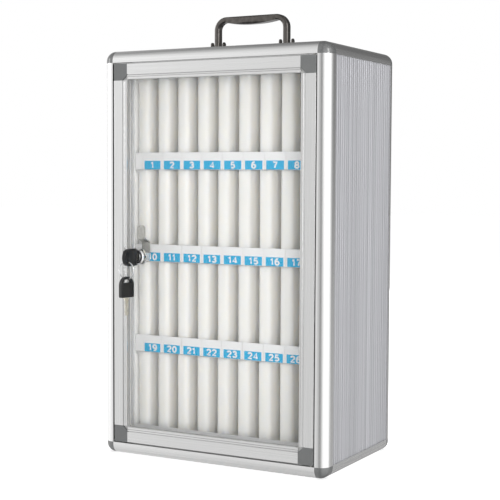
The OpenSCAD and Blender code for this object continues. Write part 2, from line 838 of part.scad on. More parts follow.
// Cranked cam, upright when the door is unlocked
module lock_cam() {
    back = -cam_at - cam_t;
    tip = -tip_at - cam_t;
    round_r = 0.38 * cam_w;
    color("silver") at_lock() difference() {
        intersection() {
            lay([-cam_w / 2, 0, 0], [0, 1, 0], [0, 0, 1], [1, 0, 0]) linear_extrude(cam_w)
                polygon([[-cam_w, back], [crank_from, back], [crank_from + crank_run, tip],
                    [cam_reach, tip], [cam_reach, tip + cam_t], [crank_from + crank_run - 1, tip + cam_t],
                    [crank_from - 1, back + cam_t], [-cam_w, back + cam_t]]);
            translate([0, 0, back - 1]) linear_extrude(cam_at + cam_t + 2) {
                circle(d = cam_w);
                translate([-cam_w / 2, 0]) square([cam_w, cam_reach - round_r]);
                translate([round_r - cam_w / 2, 0]) square([cam_w - 2 * round_r, cam_reach]);
                for (x = [round_r - cam_w / 2, cam_w / 2 - round_r])
                    translate([x, cam_reach - round_r]) circle(round_r);
            }
        }
        translate([-post_side / 2 - 0.05, -post_side / 2 - 0.05, back - 1])
            cube([post_side + 0.1, post_side + 0.1, cam_t + 2]);
    }
}

module cam_bolt() {
    back = -cam_at - cam_t;
    color("gray") at_lock() {
        translate([0, 0, back]) cylinder(d = 4, h = cam_t + 0.7);
        translate([0, 0, back - 0.8]) cylinder(d = 11, h = 0.8);
        translate([0, 0, back - 3.8]) cylinder(d = 8 / cos(30), h = 3.1, $fn = 6);
    }
}

// Plan of a bow: x across, y from the blade outwards, with an arched eye for the ring
module bow_plan() {
    half = bow_w / 2;
    r = 2;
    difference() {
        union() {
            translate([0, bow_len - half]) circle(half);
            translate([-half, r]) square([bow_w, bow_len - half - r]);
            translate([r - half, 0]) square([bow_w - 2 * r, r + 1]);
            for (x = [r - half, half - r]) translate([x, r]) circle(r);
        }
        intersection() {
            translate([0, eye_at]) circle(eye_r);
            translate([-half, eye_at + eye_flat]) square([bow_w, bow_len]);
        }
    }
}

// Plan of the panel sunk in each face of a bow, between the blade and the eye
module panel_plan() {
    x = bow_w / 2 - 3;
    top = eye_at + eye_flat - 2.2;
    r = 1.5;
    translate([-x, 2.6 + r]) square([2 * x, top - 2.6 - 2 * r]);
    translate([r - x, 2.6]) square([2 * (x - r), top - 2.6]);
    for (a = [r - x, x - r], b = [2.6 + r, top - r]) translate([a, b]) circle(r);
}

// Plan of a blade with its tang and shoulder, cut on both edges
module blade_plan() {
    half = blade_w / 2;
    cuts = [1.1, 1.9, 0.7, 1.6, 1.2];
    difference() {
        union() {
            polygon([[-half, 0], [-half, 2.5 - blade_len], [1.5 - half, -blade_len],
                [half - 1.5, -blade_len], [half, 2.5 - blade_len], [half, 0]]);
            translate([-half, -1]) square([2 * half, 13]);
            translate([-half - 1.6, -shoulder]) square([2 * half + 3.2, shoulder]);
        }
        for (i = [0 : len(cuts) - 1], side = [-1, 1])
            translate([side * half, 6 - blade_len + i * 3.9])
                polygon([[side, -2.2], [side, 2.2], [0, 1.5], [-side * cuts[i], 0.5],
                    [-side * cuts[i], -0.5], [0, -1.5]]);
    }
}

// A key's own axes: x through its thickness, y across it, z from the blade towards the bow
module flat_on_key(t) {
    lay([-t / 2, 0, 0], [0, 1, 0], [0, 0, 1], [1, 0, 0]) linear_extrude(t) children();
}

module blade_solid() {
    color("lightgray") flat_on_key(blade_t) blade_plan();
}

module bow_solid() {
    color("black") difference() {
        flat_on_key(bow_t) bow_plan();
        for (side = [-1, 1]) translate([side * bow_t / 2, 0, 0]) flat_on_key(2 * panel_in) panel_plan();
        translate([-blade_t / 2, -blade_w / 2, -1]) cube([blade_t, blade_w, 13]);
    }
}

module key_place() {
    at_lock() translate([0, 0, key_at]) children();
}

module spare_place() {
    translate([lock_x, ring_y, spare_z]) rotate([0, 0, -spare_turn]) children();
}

module key_blade() key_place() blade_solid();
module key_bow() key_place() bow_solid();
module spare_key_blade() spare_place() blade_solid();
module spare_key_bow() spare_place() bow_solid();

// Split ring: two turns of wire that lie against each other
module key_ring() {
    color("silver") translate([lock_x, ring_y, ring_top - ring_r]) rotate([90, 0, 0])
        rotate_extrude() for (side = [-1, 1])
            translate([ring_r, side * (wire_d / 2 - 0.05)]) circle(d = wire_d, $fn = 24);
}

post_front_left();
post_front_right();
post_rear_left();
post_rear_right();
rail_front_top();
rail_front_bottom();
rail_rear_top();
rail_rear_bottom();
rail_left_top();
rail_left_bottom();
rail_right_top();
rail_right_bottom();
corner_caps_top();
corner_caps_bottom();
side_sheet_left();
side_sheet_right();
top_sheet();
back_sheet();
base_sheet();
hinge_bushes();
rack_cheek_left();
rack_cheek_right();
rack_back();
rack_shelves();
rack_top();
foam_row_1();
foam_row_2();
foam_row_3();
foam_row_4();
label_holders();
label_cards();
handle_brackets();
handle_rivets();
handle_pins();
handle_bail();
door_stile_left();
door_stile_right();
door_rail_top();
door_rail_bottom();
door_corner_blocks();
door_hinge_pins();
door_seal();
door_pane();
lock_housing();
lock_nut();
lock_plug();
lock_cam();
cam_bolt();
key_blade();
key_bow();
key_ring();
spare_key_blade();
spare_key_bow();
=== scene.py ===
import math
import bpy
from mathutils import Matrix, Vector


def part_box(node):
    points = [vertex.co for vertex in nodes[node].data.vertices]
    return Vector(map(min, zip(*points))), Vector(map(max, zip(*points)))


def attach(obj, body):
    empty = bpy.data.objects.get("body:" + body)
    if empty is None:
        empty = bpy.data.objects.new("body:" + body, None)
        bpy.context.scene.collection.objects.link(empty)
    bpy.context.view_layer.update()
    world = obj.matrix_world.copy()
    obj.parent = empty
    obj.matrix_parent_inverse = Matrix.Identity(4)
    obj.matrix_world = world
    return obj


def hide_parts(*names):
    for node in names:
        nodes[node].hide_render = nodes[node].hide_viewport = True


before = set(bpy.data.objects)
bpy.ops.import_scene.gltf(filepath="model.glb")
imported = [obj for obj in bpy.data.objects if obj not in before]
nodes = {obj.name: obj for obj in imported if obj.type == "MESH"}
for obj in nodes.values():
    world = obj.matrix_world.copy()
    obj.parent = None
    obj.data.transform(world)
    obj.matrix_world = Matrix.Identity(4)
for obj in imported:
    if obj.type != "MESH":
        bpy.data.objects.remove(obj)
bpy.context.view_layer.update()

# CAMERA
# A long lens at the height of the box's upper half, round to the right of the front and tipped
# down a little. The scene that Blender starts with is cleared first.
CAMERA_AT = (0.9615, -1.7635, 0.451)
CAMERA_YAW, CAMERA_PITCH, CAMERA_ROLL = 28.57, 3.42, 0.27
LENS, SENSOR_WIDTH = 88.7, 36
for name in ("Cube", "Light", "Camera"):
    if name in bpy.data.objects:
        bpy.data.objects.remove(bpy.data.objects[name])
bpy.ops.object.camera_add(location=CAMERA_AT)
camera = bpy.context.object
camera.name = "camera"
camera.data.lens = LENS
camera.data.sensor_width = SENSOR_WIDTH
turn = (Matrix.Rotation(math.radians(CAMERA_YAW), 4, "Z")
        @ Matrix.Rotation(math.radians(90 - CAMERA_PITCH), 4, "X")
        @ Matrix.Rotation(math.radians(CAMERA_ROLL), 4, "Z"))
camera.rotation_euler = turn.to_euler()
bpy.context.scene.camera = camera
bpy.context.scene.view_settings.view_transform = "Standard"

# STUDIO
# A white room: the world lights the box evenly and shows white to the camera and in glass. In gloss
# the room has bright walls to the left and right, dark ones behind the box and where the camera
# stands, and a dim ceiling. Soft lamps light the front, and the back and top less.
WORLD_LEVEL = 0.52
# each wall stop is a direction in degrees, from the front towards the right, and a level
HIGH_WALLS = ((-180, 0.16), (-148, 0.26), (-130, 1.15), (-95, 1.15), (-62, 1.35), (-45, 1.32),
              (-33, 1.06), (-25, 0.96), (-13, 0.66), (0, 0.34), (11, 0.38), (22, 1.0), (34, 1.4),
              (104, 1.4), (119, 0.9), (131, 0.5), (150, 0.3), (165, 0.16), (180, 0.16))
LOW_WALLS = ((-180, 0.52), (-148, 0.6), (-130, 1.15), (-62, 1.3), (-45, 1.15), (-33, 0.9),
             (-25, 0.9), (-13, 0.82), (0, 0.56), (11, 0.3), (23, 0.4), (35, 0.85), (47, 1.35),
             (116, 1.4), (131, 0.8), (145, 0.55), (160, 0.48), (180, 0.52))
OVERHEAD = ((-180, 0.16), (-135, 0.18), (-115, 0.32), (-90, 0.42), (-60, 0.6), (-40, 0.75),
            (-10, 0.6), (0, 0.3), (15, 0.3), (30, 0.8), (100, 0.8), (130, 0.3), (180, 0.16))
# each height stop is the sine of a direction's height, and a share of the wall's level
HEIGHTS = ((-1, 0.5), (-0.85, 0.58), (-0.7, 0.74), (-0.4, 0.95), (-0.2, 1), (0.85, 1), (1, 0.6))
# the sines of the heights where the low walls turn into the high ones, and those into the ceiling
WALLS_MEET, CEILING_MEETS = (-0.16, 0.06), (0.35, 0.8)


def math_step(tree, operation, first, second):
    # each of the two values is a socket or a plain number
    step = tree.nodes.new("ShaderNodeMath")
    step.operation = operation
    for socket, value in zip(step.inputs, (first, second)):
        if isinstance(value, float):
            socket.default_value = value
        else:
            tree.links.new(value, socket)
    return step.outputs[0]


def spread(tree, value, low, high):
    # brings a value between low and high to 0..1
    span = tree.nodes.new("ShaderNodeMapRange")
    span.inputs["From Min"].default_value = low
    span.inputs["From Max"].default_value = high
    tree.links.new(value, span.inputs["Value"])
    return span.outputs["Result"]


def levels(tree, value, stops, low, high):
    # a curve through the stops, kept at half size because a ramp's colours end at 1
    ramp = tree.nodes.new("ShaderNodeValToRGB")
    ramp.color_ramp.interpolation = "EASE"
    while len(ramp.color_ramp.elements) < len(stops):
        ramp.color_ramp.elements.new(0.5)
    for element, (place, level) in zip(ramp.color_ramp.elements, stops):
        element.position = (place - low) / (high - low)
        element.color = (level / 2, level / 2, level / 2, 1)
    tree.links.new(value, ramp.inputs["Fac"])
    return ramp.outputs["Color"]


def blend_levels(tree, factor, low, high):
    mix = tree.nodes.new("ShaderNodeMix")
    mix.data_type = "FLOAT"
    tree.links.new(factor, mix.inputs["Factor"])
    tree.links.new(low, mix.inputs["A"])
    tree.links.new(high, mix.inputs["B"])
    return mix.outputs["Result"]


def white_background(tree):
    background = tree.nodes.new("ShaderNodeBackground")
    background.inputs["Color"].default_value = (1, 1, 1, 1)
    return background


def pick(tree, factor, first, second):
    choice = tree.nodes.new("ShaderNodeMixShader")
    tree.links.new(factor, choice.inputs[0])
    tree.links.new(first, choice.inputs[1])
    tree.links.new(second, choice.inputs[2])
    return choice.outputs[0]


world = bpy.data.worlds.new("studio")
bpy.context.scene.world = world
world.use_nodes = True
tree = world.node_tree
tree.nodes.clear()
direction = tree.nodes.new("ShaderNodeTexCoord")
split = tree.nodes.new("ShaderNodeSeparateXYZ")
tree.links.new(direction.outputs["Generated"], split.inputs[0])
height = split.outputs["Z"]
to_front = math_step(tree, "MULTIPLY", split.outputs["Y"], -1.0)
bearing = math_step(tree, "ARCTAN2", split.outputs["X"], to_front)
round_the_room = spread(tree, bearing, -math.pi, math.pi)
high_walls = levels(tree, round_the_room, HIGH_WALLS, -180, 180)
low_walls = levels(tree, round_the_room, LOW_WALLS, -180, 180)
overhead = levels(tree, round_the_room, OVERHEAD, -180, 180)
share = levels(tree, spread(tree, height, -1, 1), HEIGHTS, -1, 1)
walls = blend_levels(tree, spread(tree, height, *WALLS_MEET), low_walls, high_walls)
room = blend_levels(tree, spread(tree, height, *CEILING_MEETS), walls, overhead)
# both are at half size, so four times their product is the level
quarter = math_step(tree, "MULTIPLY", room, share)
in_gloss = white_background(tree)
tree.links.new(math_step(tree, "MULTIPLY", quarter, 4.0), in_gloss.inputs["Strength"])
even_light = white_background(tree)
even_light.inputs["Strength"].default_value = WORLD_LEVEL
plain_white = white_background(tree)
plain_white.inputs["Strength"].default_value = 1.0
rays = tree.nodes.new("ShaderNodeLightPath")
seen = math_step(tree, "MAXIMUM", rays.outputs["Is Camera Ray"], rays.outputs["Is Transmission Ray"])
lights_box = pick(tree, rays.outputs["Is Glossy Ray"], even_light.outputs[0], in_gloss.outputs[0])
out = tree.nodes.new("ShaderNodeOutputWorld")
tree.links.new(pick(tree, seen, lights_box, plain_white.outputs[0]), out.inputs["Surface"])


def soft_lamp(name, at, aim, width, height, watts, in_reflections=True):
    bpy.ops.object.light_add(type="AREA", location=at)
    lamp = bpy.context.object
    lamp.name = name
    lamp.data.shape = "RECTANGLE"
    lamp.data.size = width
    lamp.data.size_y = height
    lamp.data.energy = watts
    lamp.visible_glossy = in_reflections
    lamp.rotation_euler = (Vector(aim) - Vector(at)).to_track_quat("-Z", "Y").to_euler()


soft_lamp("lamp_left", (-3.2, -1.5, 1.0), (0, 0, 0.4), 1.1, 2.2, 16)
soft_lamp("lamp_right", (1.9, -0.6, 0.9), (0.1, 0, 0.4), 0.62, 1.5, 9)
soft_lamp("lamp_front", (2.0, -3.0, 0.5), (0, 0, 0.34), 1.6, 1.2, 74, in_reflections=False)
soft_lamp("lamp_back", (-0.6, 2.8, 0.9), (0, 0, 0.35), 1.6, 1.6, 26, in_reflections=False)
soft_lamp("lamp_above", (-0.3, 0.7, 2.7), (0, 0.1, 0.65), 1.2, 1.2, 15, in_reflections=False)

# The floor is pale and plain. What the camera sees of it is lifted to the white of the room, and
# the box still shades it.
FLOOR_SIZE, FLOOR_SHADE, FLOOR_LIFT = 24, 0.8, 0.6
bpy.ops.mesh.primitive_plane_add(size=FLOOR_SIZE, location=(0, 0, 0))
floor = bpy.context.object
floor.name = "floor"
floor.visible_glossy = False
floor_white = bpy.data.materials.new("floor_white")
floor_white.use_nodes = True
tree = floor_white.node_tree
tree.nodes.clear()
rays = tree.nodes.new("ShaderNodeLightPath")
seen = math_step(tree, "MAXIMUM", rays.outputs["Is Camera Ray"], rays.outputs["Is Transmission Ray"])
glow = tree.nodes.new("ShaderNodeEmission")
tree.links.new(math_step(tree, "MULTIPLY", seen, FLOOR_LIFT), glow.inputs["Strength"])
matt = tree.nodes.new("ShaderNodeBsdfDiffuse")
matt.inputs["Color"].default_value = (FLOOR_SHADE, FLOOR_SHADE, FLOOR_SHADE, 1)
both = tree.nodes.new("ShaderNodeAddShader")
out = tree.nodes.new("ShaderNodeOutputMaterial")
tree.links.new(matt.outputs[0], both.inputs[0])
tree.links.new(glow.outputs[0], both.inputs[1])
tree.links.new(both.outputs[0], out.inputs["Surface"])
floor.data.materials.append(floor_white)

# EDGE FRAME
# Extruded aluminium uprights and rails, satin anodised. The die leaves very fine lines along each
# length, so the grain of the finish is stretched along the axis that the section runs on.
LINES_ACROSS, LINES_LENGTHWISE, LINE_SHADE = 1600.0, 5.0, 0.04
# most of a noise lies between these values: the first pair for colour, the second for gloss
COLOUR_FROM, COLOUR_TO, GLOSS_FROM, GLOSS_TO = 0.3, 0.7, 0.25, 0.75


def grain(tree, per_metre, detail):
    # a noise with so many spots to the metre, along all three axes or along each
    if isinstance(per_metre, int):
        per_metre = (per_metre, per_metre, per_metre)
    where = tree.nodes.new("ShaderNodeTexCoord")
    stretch = tree.nodes.new("ShaderNodeMapping")
    stretch.inputs["Scale"].default_value = per_metre
    noise = tree.nodes.new("ShaderNodeTexNoise")
    noise.inputs["Scale"].default_value = 1.0
    noise.inputs["Detail"].default_value = detail
    tree.links.new(where.outputs["Object"], stretch.inputs["Vector"])
    tree.links.new(stretch.outputs["Vector"], noise.inputs["Vector"])
    return noise.outputs["Fac"]


def shades(tree, shader, value, dark, light):
    ramp = tree.nodes.new("ShaderNodeValToRGB")
    ramp.color_ramp.elements[0].position = COLOUR_FROM
    ramp.color_ramp.elements[0].color = (*dark, 1)
    ramp.color_ramp.elements[1].position = COLOUR_TO
    ramp.color_ramp.elements[1].color = (*light, 1)
    tree.links.new(value, ramp.inputs["Fac"])
    tree.links.new(ramp.outputs["Color"], shader.inputs["Base Color"])


def uneven_gloss(tree, shader, value, smooth, rough):
    span = tree.nodes.new("ShaderNodeMapRange")
    span.inputs["From Min"].default_value = GLOSS_FROM
    span.inputs["From Max"].default_value = GLOSS_TO
    span.inputs["To Min"].default_value = smooth
    span.inputs["To Max"].default_value = rough
    tree.links.new(value, span.inputs["Value"])
    tree.links.new(span.outputs["Result"], shader.inputs["Roughness"])


def surface_relief(tree, shader, value, depth):
    bump = tree.nodes.new("ShaderNodeBump")
    bump.inputs["Strength"].default_value = 1.0
    bump.inputs["Distance"].default_value = depth
    tree.links.new(value, bump.inputs["Height"])
    tree.links.new(bump.outputs["Normal"], shader.inputs["Normal"])


def finish(name, per_metre, dark, light, gloss, detail=4.0, metallic=0.0, relief=0.0, also=None):
    # one noise shades the colour from dark to light, the roughness over the range of gloss, and
    # raises the surface by the relief; a colour or a gloss that has no range is the same all over;
    # also sets other sockets by name
    material = bpy.data.materials.new(name)
    material.use_nodes = True
    tree = material.node_tree
    shader = tree.nodes["Principled BSDF"]
    shader.inputs["Base Color"].default_value = (*dark, 1)
    shader.inputs["Roughness"].default_value = gloss[0]
    shader.inputs["Metallic"].default_value = metallic
    for socket, value in (also or {}).items():
        shader.inputs[socket].default_value = value
    value = grain(tree, per_metre, detail)
    if dark != light:
        shades(tree, shader, value, dark, light)
    if gloss[0] != gloss[1]:
        uneven_gloss(tree, shader, value, *gloss)
    if relief:
        surface_relief(tree, shader, value, relief)
    return material


def anodised(name, along, level=0.76):
    stretched = [LINES_LENGTHWISE if axis == along else LINES_ACROSS for axis in "XYZ"]
    dark, light = level - LINE_SHADE, level + LINE_SHADE
    return finish(name, stretched, (dark, dark, dark - 0.002), (light, light, light - 0.003),
                  (0.19, 0.3), detail=3.0, metallic=1.0, relief=0.00001)


def finish_nodes(material, *names):
    for name in names:
        slots = nodes[name].data.materials
        slots.clear()
        slots.append(material)


finish_nodes(anodised("anodised_upright", "Z"),
             "post_front_left", "post_front_right", "post_rear_left", "post_rear_right")
finish_nodes(anodised("anodised_cross", "X"),
             "rail_front_top", "rail_front_bottom", "rail_rear_top", "rail_rear_bottom")
finish_nodes(anodised("anodised_deep", "Y"),
             "rail_left_top", "rail_left_bottom", "rail_right_top", "rail_right_bottom")

# CORNER CAPS
# Grey moulded plastic corners with a ball-shaped tip, a fine moulded grain and a dull sheen.
cap_plastic = finish("cap_plastic", 2600, (0.095, 0.098, 0.098), (0.135, 0.138, 0.138),
                     (0.12, 0.2), detail=2.0, relief=0.00002, also={"IOR": 1.9})
finish_nodes(cap_plastic, "corner_caps_top", "corner_caps_bottom")

# SHEETS
# Board faced with a silver grey skin, pressed into upright flutes on both sides of the box, with
# streaks down the flutes, and along the width of the top and the base. Inside it is plain white.
STREAKS_ACROSS, STREAKS_LENGTHWISE = 300, 0.8
INSIDE_WHITE = (0.85, 0.85, 0.84, 1)


def sheet_board(name, axis, middle, outwards):
    # the inside starts half way through the board, along the axis across it
    lengthwise = "X" if axis == "Z" else "Z"
    stretched = [STREAKS_LENGTHWISE if one == lengthwise else STREAKS_ACROSS for one in "XYZ"]
    material = finish(name, stretched, (0.33, 0.331, 0.35), (0.5, 0.502, 0.526), (0.3, 0.44),
                      detail=3.0, metallic=0.3, relief=0.00003)
    tree = material.node_tree
    base_colour = tree.nodes["Principled BSDF"].inputs["Base Color"]
    skin = base_colour.links[0].from_socket
    where = tree.nodes.new("ShaderNodeTexCoord")
    split = tree.nodes.new("ShaderNodeSeparateXYZ")
    tree.links.new(where.outputs["Object"], split.inputs[0])
    side = "GREATER_THAN" if outwards else "LESS_THAN"
    faces = tree.nodes.new("ShaderNodeMix")
    faces.data_type = "RGBA"
    faces.inputs["A"].default_value = INSIDE_WHITE
    tree.links.new(math_step(tree, side, split.outputs[axis], middle), faces.inputs["Factor"])
    tree.links.new(skin, faces.inputs["B"])
    tree.links.new(faces.outputs["Result"], base_colour)
    return material


for node, axis, outwards in (("side_sheet_left", "X", False), ("side_sheet_right", "X", True),
                             ("top_sheet", "Z", True), ("back_sheet", "Y", True),
                             ("base_sheet", "Z", False)):
    low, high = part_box(node)
    index = "XYZ".index(axis)
    middle = (low[index] + high[index]) / 2
    finish_nodes(sheet_board(f"skin_{node}", axis, middle, outwards), node)

# FLUTED SIDES
# The skin of each side sheet is pressed in half-round flutes that meet in sharp valleys. The sheet's
# two edges stay plain where they stand in the channels of the uprights.
FLUTE_WIDTH, FLUTE_DEPTH, FLUTE_STEPS = 0.0076, 0.0013, 8
PLAIN_EDGE = 0.003
SHARP_FROM = math.radians(40)
for side, inwards in (("left", 1), ("right", -1)):
    low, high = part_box(f"side_sheet_{side}")
    outer, inner = (low.x, high.x) if side == "left" else (high.x, low.x)
    flutes = int((high.y - low.y - 2 * PLAIN_EDGE) / FLUTE_WIDTH)
    columns = flutes * FLUTE_STEPS + 2
    first_flute = (low.y + high.y - flutes * FLUTE_WIDTH) / 2
    bpy.ops.object.select_all(action="DESELECT")
    bpy.ops.mesh.primitive_grid_add(x_subdivisions=1, y_subdivisions=columns, size=1,
                                    location=(outer, (low.y + high.y) / 2, (low.z + high.z) / 2),
                                    rotation=(0, math.radians(90), 0))
    fluted = bpy.context.object
    fluted.name = f"fluted_sheet_{side}"
    fluted.scale = (high.z - low.z, high.y - low.y, 1)
    bpy.ops.object.transform_apply(location=True, rotation=True, scale=True)
    for v in fluted.data.vertices:
        column = round((v.co.y - low.y) / (high.y - low.y) * columns) - 1
        v.co.x = outer + inwards * FLUTE_DEPTH
        if 0 <= column <= flutes * FLUTE_STEPS:
            round_flute = math.pi * (column % FLUTE_STEPS) / FLUTE_STEPS
            across = column // FLUTE_STEPS + (1 - math.cos(round_flute)) / 2
            v.co.y = first_flute + across * FLUTE_WIDTH
            v.co.x = outer + inwards * FLUTE_DEPTH * (1 - math.sin(round_flute))
    bpy.ops.object.mode_set(mode="EDIT")
    bpy.ops.mesh.select_all(action="SELECT")
    bpy.ops.mesh.extrude_region_move(TRANSFORM_OT_translate={"value": (inner - outer, 0, 0)})
    bpy.ops.object.mode_set(mode="OBJECT")
    # the skin that was moved inwards becomes the flat inner face
    for v in fluted.data.vertices:
        if v.select:
            v.co.x = inner
    bpy.ops.object.mode_set(mode="EDIT")
    bpy.ops.mesh.select_all(action="SELECT")
    bpy.ops.mesh.normals_make_consistent(inside=False)
    bpy.ops.object.mode_set(mode="OBJECT")
    bpy.ops.object.shade_smooth_by_angle(angle=SHARP_FROM)
    fluted.data.materials.append(nodes[f"side_sheet_{side}"].data.materials[0])
    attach(fluted, "cabinet")
    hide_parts(f"side_sheet_{side}")

# RACK
# White boards that carry the foam, with a faint mottle, and the two white nylon hinge bushes.
rack_white = finish("rack_white", 60, (0.85, 0.85, 0.84), (0.91, 0.91, 0.9), (0.45, 0.6),
                    detail=5.0)
finish_nodes(rack_white, "rack_cheek_left", "rack_cheek_right", "rack_back", "rack_shelves",
             "rack_top", "hinge_bushes")

# FOAM DIVIDERS
# Soft white foam leaves with a rounded nose, ten to a row with a wider pad at each end. Each one
# is cut from a sheet by hand, so its faces swell and wander by a few tenths of a millimetre.
ROWS, SLOTS = 4, 9
LEAF_WIDTH, PAD_WIDTH, LEAF_PLAY = 0.022, 0.026, 0.00015
NOSE_RADIUS, NOSE_STEPS, LEAF_STEPS = 0.007, 6, 16
WANDER, SMOOTHING = 0.0004, 2
ON_A_FACE = 0.0001
foam_white = finish("foam_white", 1500, (0.89, 0.868, 0.828), (0.96, 0.94, 0.905), (0.9, 0.9),
                    detail=3.0, relief=0.00025,
                    also={"Subsurface Weight": 0.85, "Subsurface Radius": (1.0, 0.95, 0.85),
                          "Subsurface Scale": 0.013})


def foam_leaf(name, low, high, left, right, seed):
    # the plan, with its front corners rounded, is drawn up in steps to the row's height, and each
    # leaf's seed makes it wander in its own way
    bpy.ops.object.select_all(action="DESELECT")
    bpy.ops.mesh.primitive_grid_add(x_subdivisions=2, y_subdivisions=6, size=2,
                                    location=((left + right) / 2, (low.y + high.y) / 2, low.z))
    leaf = bpy.context.object
    leaf.name = name
    leaf.scale = ((right - left) / 2, (high.y - low.y) / 2, 1)
    bpy.ops.object.transform_apply(location=True, rotation=False, scale=True)
    bpy.ops.object.mode_set(mode="EDIT")
    bpy.ops.mesh.select_all(action="DESELECT")
    bpy.ops.object.mode_set(mode="OBJECT")
    # a pad's outer corner, beside the cheek, stays square
    for v in leaf.data.vertices:
        at_a_side = min(abs(v.co.x - left), abs(v.co.x - right)) < ON_A_FACE
        beside_slot = abs(v.co.x) < high.x - ON_A_FACE
        v.select = at_a_side and beside_slot and abs(v.co.y - low.y) < ON_A_FACE
    bpy.ops.object.mode_set(mode="EDIT")
    bpy.ops.mesh.bevel(offset=NOSE_RADIUS, segments=NOSE_STEPS, affect="VERTICES")
    bpy.ops.mesh.select_all(action="SELECT")
    for _ in range(LEAF_STEPS):
        bpy.ops.mesh.extrude_region_move(
            TRANSFORM_OT_translate={"value": (0, 0, (high.z - low.z) / LEAF_STEPS)})
    bpy.ops.mesh.select_all(action="SELECT")
    bpy.ops.mesh.normals_make_consistent(inside=False)
    bpy.ops.mesh.select_all(action="DESELECT")
    bpy.ops.object.mode_set(mode="OBJECT")
    # only the nose and the cheeks of the leaf wander, and they stay inside the row's space
    for v in leaf.data.vertices:
        between_ends = low.z + ON_A_FACE < v.co.z < high.z - ON_A_FACE
        v.select = between_ends and v.co.y < high.y - ON_A_FACE
    bpy.ops.object.mode_set(mode="EDIT")
    bpy.ops.transform.vertex_random(offset=WANDER, uniform=1.0, normal=0.0, seed=seed)
    bpy.ops.mesh.vertices_smooth(factor=0.5, repeat=SMOOTHING)
    bpy.ops.object.mode_set(mode="OBJECT")
    for v in leaf.data.vertices:
        v.co.x = min(max(v.co.x, left), right)
        v.co.y = max(v.co.y, low.y)
    bpy.ops.object.shade_smooth_by_angle(angle=SHARP_FROM)
    leaf.data.materials.append(foam_white)
    return leaf


def joined(parts, name):
    bpy.ops.object.select_all(action="DESELECT")
    for part in parts:
        part.select_set(True)
    bpy.context.view_layer.objects.active = parts[0]
    bpy.ops.object.join()
    whole = bpy.context.object
    whole.name = name
    bpy.ops.object.transform_apply(location=True, rotation=True, scale=True)
    return whole


rack_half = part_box("foam_row_1")[1].x + LEAF_PLAY
slot_width = (2 * (rack_half - PAD_WIDTH) - (SLOTS - 1) * LEAF_WIDTH) / SLOTS
slot_pitch = slot_width + LEAF_WIDTH
for row in range(1, ROWS + 1):
    low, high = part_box(f"foam_row_{row}")
    edges = [(low.x, PAD_WIDTH - rack_half)]
    for i in range(1, SLOTS):
        start = PAD_WIDTH - rack_half + i * slot_width + (i - 1) * LEAF_WIDTH
        edges.append((start, start + LEAF_WIDTH))
    edges.append((rack_half - PAD_WIDTH, high.x))
    leaves = [foam_leaf(f"foam_{row}_{i}", low, high, left, right, 20 * row + i)
              for i, (left, right) in enumerate(edges)]
    dividers = joined(leaves, f"foam_dividers_row_{row}")
    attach(dividers, "cabinet")
    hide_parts(f"foam_row_{row}")

# SIDE FILLERS
# A strip of the same foam pressed between each cheek and the side sheet, level with the front of
# the cheek, so that no gap shows beside the rack.
FILLER_DEEP, FILLER_PLAY, FILLER_EDGE, FILLER_LIFT = 0.012, 0.0001, 0.0004, 0.002


def block(name, centre, size):
    bpy.ops.object.select_all(action="DESELECT")
    bpy.ops.mesh.primitive_cube_add(size=1, location=centre)
    solid = bpy.context.object
    solid.name = name
    solid.scale = size
    bpy.ops.object.transform_apply(location=True, rotation=True, scale=True)
    return solid


for side in ("left", "right"):
    cheek_low, cheek_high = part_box(f"rack_cheek_{side}")
    sheet_low, sheet_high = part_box(f"side_sheet_{side}")
    left, right = sheet_high.x + FILLER_PLAY, cheek_low.x - FILLER_PLAY
    if side == "right":
        left, right = cheek_high.x + FILLER_PLAY, sheet_low.x - FILLER_PLAY
    bottom, top = sheet_low.z + FILLER_LIFT, cheek_high.z
    filler = block(f"side_filler_{side}",
                   ((left + right) / 2, cheek_low.y + FILLER_DEEP / 2, (bottom + top) / 2),
                   (right - left, FILLER_DEEP, top - bottom))
    bpy.ops.object.mode_set(mode="EDIT")
    bpy.ops.mesh.select_all(action="SELECT")
    bpy.ops.mesh.bevel(offset=FILLER_EDGE, segments=3, affect="EDGES")
    bpy.ops.object.mode_set(mode="OBJECT")
    bpy.ops.object.shade_smooth_by_angle(angle=SHARP_FROM)
    filler.data.materials.append(foam_white)
    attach(filler, "cabinet")

# LABEL STRIPS
# A white card behind a clear holder in front of each row. Each slot has a blue printed field with
# a plain white number, counted from the top left.
FIELD_WIDTH, FIELD_HEIGHT, FIELD_RISE = 0.0312, 0.0141, 0.0009
STRIP_BELOW_FOAM = 0.00315
NUMBER_TALL, NUMBER_WIDE, NUMBER_PEN = 0.011, 0.0138, 0.0028
DIGIT_STEP, NARROW_STEP = 0.0102, 0.0078
# the ink's thickness, and how far the strokes of one numeral lie apart, as a share of it
INK, STROKE_GAP = 0.00002, 0.4


def arc(centre_x, centre_z, wide, tall, start, end, steps=10):
    angles = [math.radians(start + (end - start) * i / steps) for i in range(steps + 1)]
    return [(centre_x + wide * math.cos(a), centre_z + tall * math.sin(a)) for a in angles]


